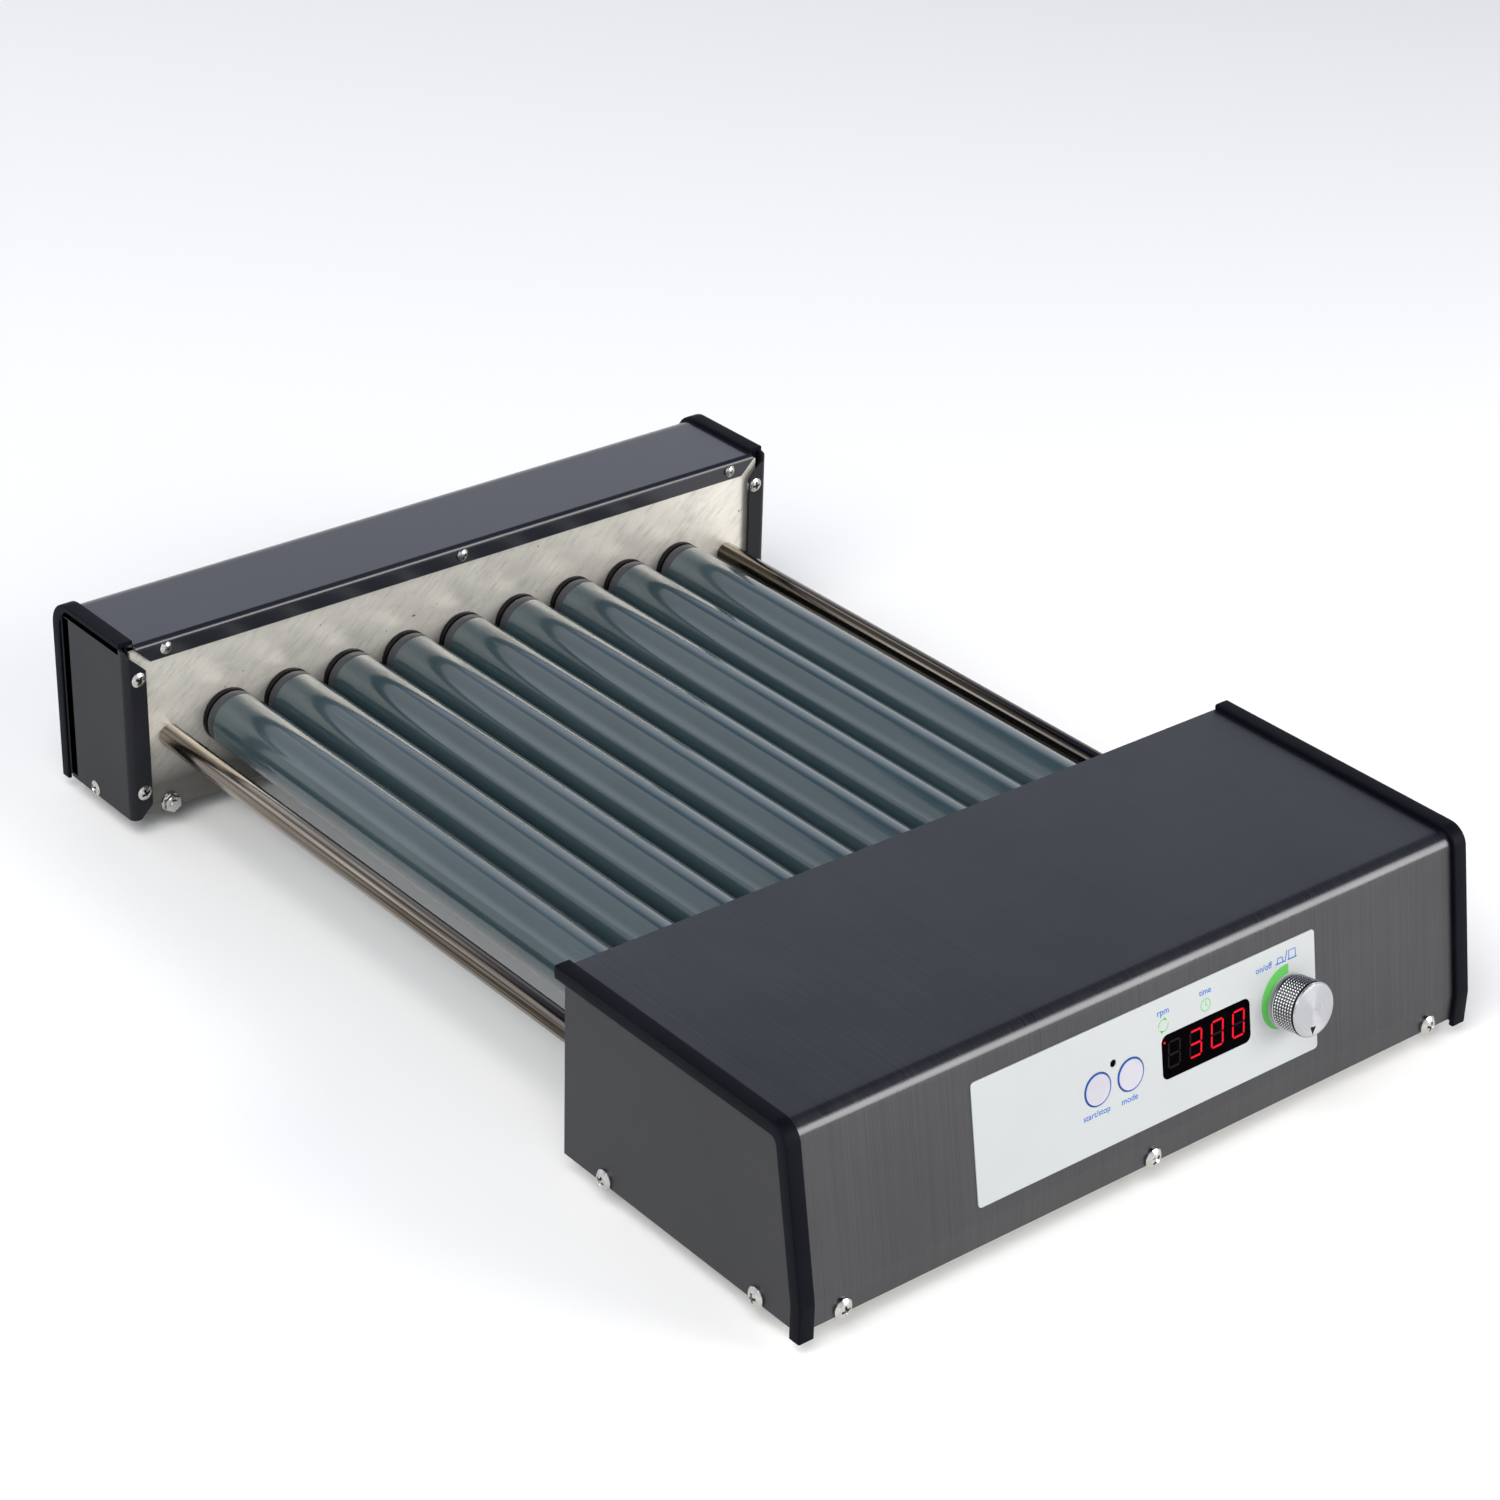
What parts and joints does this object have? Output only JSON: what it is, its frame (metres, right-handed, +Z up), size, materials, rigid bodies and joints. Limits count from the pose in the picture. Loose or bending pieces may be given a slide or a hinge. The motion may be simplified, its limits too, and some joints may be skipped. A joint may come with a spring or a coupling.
{
  "type": "tube roller mixer",
  "caption": "Bench tube roller mixer: a sloped-front drive housing, a bearing housing behind it, and a flat row of turning rollers and two side rods between them.",
  "frame": {"origin": "middle of the footprint, on the surface that the feet stand on", "axes": "+X across the rollers to the right seen from the control panel, +Y along the rollers from the drive housing to the bearing housing, +Z up"},
  "size_m": [0.3412, 0.5015, 0.09],
  "materials": {
    "cover_paint": "satin dark grey enamel",
    "front_steel": "dark brushed steel, grain up the slope",
    "plate_paint": "satin dark grey enamel",
    "bright_steel": "rolled stainless sheet, light scratches",
    "trim_rubber": "matt black extrusion",
    "foot_rubber": "matt black",
    "roller_plastic": "glossy blue-grey tube",
    "cap_plastic": "moulded dark grey",
    "spindle_steel": "turned",
    "bush_plastic": "black acetal",
    "belt_rubber": "flat black belt",
    "rod_steel": "ground bright bar",
    "screw_chrome": "bright plated",
    "motor_metal": "die-cast gearbox with turned can",
    "coupling_metal": "turned",
    "label_film": "printed polyester film",
    "window_plastic": "smoked lens",
    "button_plastic": "pale lilac keys",
    "board_laminate": "green laminate",
    "module_plastic": "black block",
    "standoff_brass": "plated",
    "switch_plastic": "black",
    "knob_metal": "spun face, knurled side",
    "inlet_plastic": "black moulding"
  },
  "bodies": {
    "frame": {"drive_cover": "front_steel", "drive_end_plate_left": "plate_paint", "drive_end_plate_right": "plate_paint", "drive_trims": "trim_rubber", "drive_chassis": "bright_steel", "bearing_chassis": "bright_steel", "bearing_cover": "cover_paint", "bearing_end_plate_left": "plate_paint", "bearing_end_plate_right": "plate_paint", "bearing_trims": "trim_rubber", "roller_bushes": "bush_plastic", "drive_belts": "belt_rubber", "gear_motor": "motor_metal", "motor_bracket": "bright_steel", "side_rods": "rod_steel", "rod_bolts": "screw_chrome", "control_label": "label_film", "display_window": "window_plastic", "display_module": "module_plastic", "control_board": "board_laminate", "board_standoffs": "standoff_brass", "push_switches": "switch_plastic", "speed_encoder": "switch_plastic", "case_screws": "screw_chrome", "plate_nuts": "screw_chrome", "feet": "foot_rubber", "power_inlet": "inlet_plastic"},
    "roller_1": {"roller_1_tube": "roller_plastic", "roller_1_caps": "cap_plastic", "roller_1_spindle": "spindle_steel"},
    "roller_2": {"roller_2_tube": "roller_plastic", "roller_2_caps": "cap_plastic", "roller_2_spindle": "spindle_steel"},
    "roller_3": {"roller_3_tube": "roller_plastic", "roller_3_caps": "cap_plastic", "roller_3_spindle": "spindle_steel"},
    "roller_4": {"roller_4_tube": "roller_plastic", "roller_4_caps": "cap_plastic", "roller_4_spindle": "spindle_steel"},
    "roller_5": {"roller_5_tube": "roller_plastic", "roller_5_caps": "cap_plastic", "roller_5_spindle": "spindle_steel", "shaft_coupling": "coupling_metal", "motor_shaft": "spindle_steel"},
    "roller_6": {"roller_6_tube": "roller_plastic", "roller_6_caps": "cap_plastic", "roller_6_spindle": "spindle_steel"},
    "roller_7": {"roller_7_tube": "roller_plastic", "roller_7_caps": "cap_plastic", "roller_7_spindle": "spindle_steel"},
    "roller_8": {"roller_8_tube": "roller_plastic", "roller_8_caps": "cap_plastic", "roller_8_spindle": "spindle_steel"},
    "roller_9": {"roller_9_tube": "roller_plastic", "roller_9_caps": "cap_plastic", "roller_9_spindle": "spindle_steel"},
    "encoder_shaft": {"encoder_shaft": "spindle_steel"},
    "speed_knob": {"speed_knob": "knob_metal"},
    "button_start": {"button_start": "button_plastic"},
    "button_mode": {"button_mode": "button_plastic"}
  },
  "joints": [
    {"name": "roller_1_spin", "type": "hinge", "parent": "frame", "child": "roller_1", "pos_m": [-0.12, 0, 0.043], "axis": [0, 1, 0], "continuous": true},
    {"name": "roller_2_spin", "type": "hinge", "parent": "frame", "child": "roller_2", "pos_m": [-0.09, 0, 0.043], "axis": [0, 1, 0], "continuous": true},
    {"name": "roller_3_spin", "type": "hinge", "parent": "frame", "child": "roller_3", "pos_m": [-0.06, 0, 0.043], "axis": [0, 1, 0], "continuous": true},
    {"name": "roller_4_spin", "type": "hinge", "parent": "frame", "child": "roller_4", "pos_m": [-0.03, 0, 0.043], "axis": [0, 1, 0], "continuous": true},
    {"name": "roller_5_spin", "type": "hinge", "parent": "frame", "child": "roller_5", "pos_m": [0, 0, 0.043], "axis": [0, 1, 0], "continuous": true},
    {"name": "roller_6_spin", "type": "hinge", "parent": "frame", "child": "roller_6", "pos_m": [0.03, 0, 0.043], "axis": [0, 1, 0], "continuous": true},
    {"name": "roller_7_spin", "type": "hinge", "parent": "frame", "child": "roller_7", "pos_m": [0.06, 0, 0.043], "axis": [0, 1, 0], "continuous": true},
    {"name": "roller_8_spin", "type": "hinge", "parent": "frame", "child": "roller_8", "pos_m": [0.09, 0, 0.043], "axis": [0, 1, 0], "continuous": true},
    {"name": "roller_9_spin", "type": "hinge", "parent": "frame", "child": "roller_9", "pos_m": [0.12, 0, 0.043], "axis": [0, 1, 0], "continuous": true},
    {"name": "knob_press", "type": "slide", "parent": "frame", "child": "encoder_shaft", "axis": [0, 0.9848, -0.1736], "range_m": [0, 0.0008], "stiffness_N_per_m": 500, "springref_m": -0.0005},
    {"name": "knob_turn", "type": "hinge", "parent": "encoder_shaft", "child": "speed_knob", "pos_m": [0.0719, -0.23614, 0.04884], "axis": [0, -0.9848, 0.1736], "continuous": true},
    {"name": "start_press", "type": "slide", "parent": "frame", "child": "button_start", "axis": [0, 0.9848, -0.1736], "range_m": [0, 0.0004], "stiffness_N_per_m": 600, "springref_m": -0.0005},
    {"name": "mode_press", "type": "slide", "parent": "frame", "child": "button_mode", "axis": [0, 0.9848, -0.1736], "range_m": [0, 0.0004], "stiffness_N_per_m": 600, "springref_m": -0.0005}
  ],
  "couplings": [
    {"joint": "roller_1_spin", "follows": "roller_5_spin", "ratio": 1},
    {"joint": "roller_2_spin", "follows": "roller_5_spin", "ratio": 1},
    {"joint": "roller_3_spin", "follows": "roller_5_spin", "ratio": 1},
    {"joint": "roller_4_spin", "follows": "roller_5_spin", "ratio": 1},
    {"joint": "roller_6_spin", "follows": "roller_5_spin", "ratio": 1},
    {"joint": "roller_7_spin", "follows": "roller_5_spin", "ratio": 1},
    {"joint": "roller_8_spin", "follows": "roller_5_spin", "ratio": 1},
    {"joint": "roller_9_spin", "follows": "roller_5_spin", "ratio": 1}
  ]
}
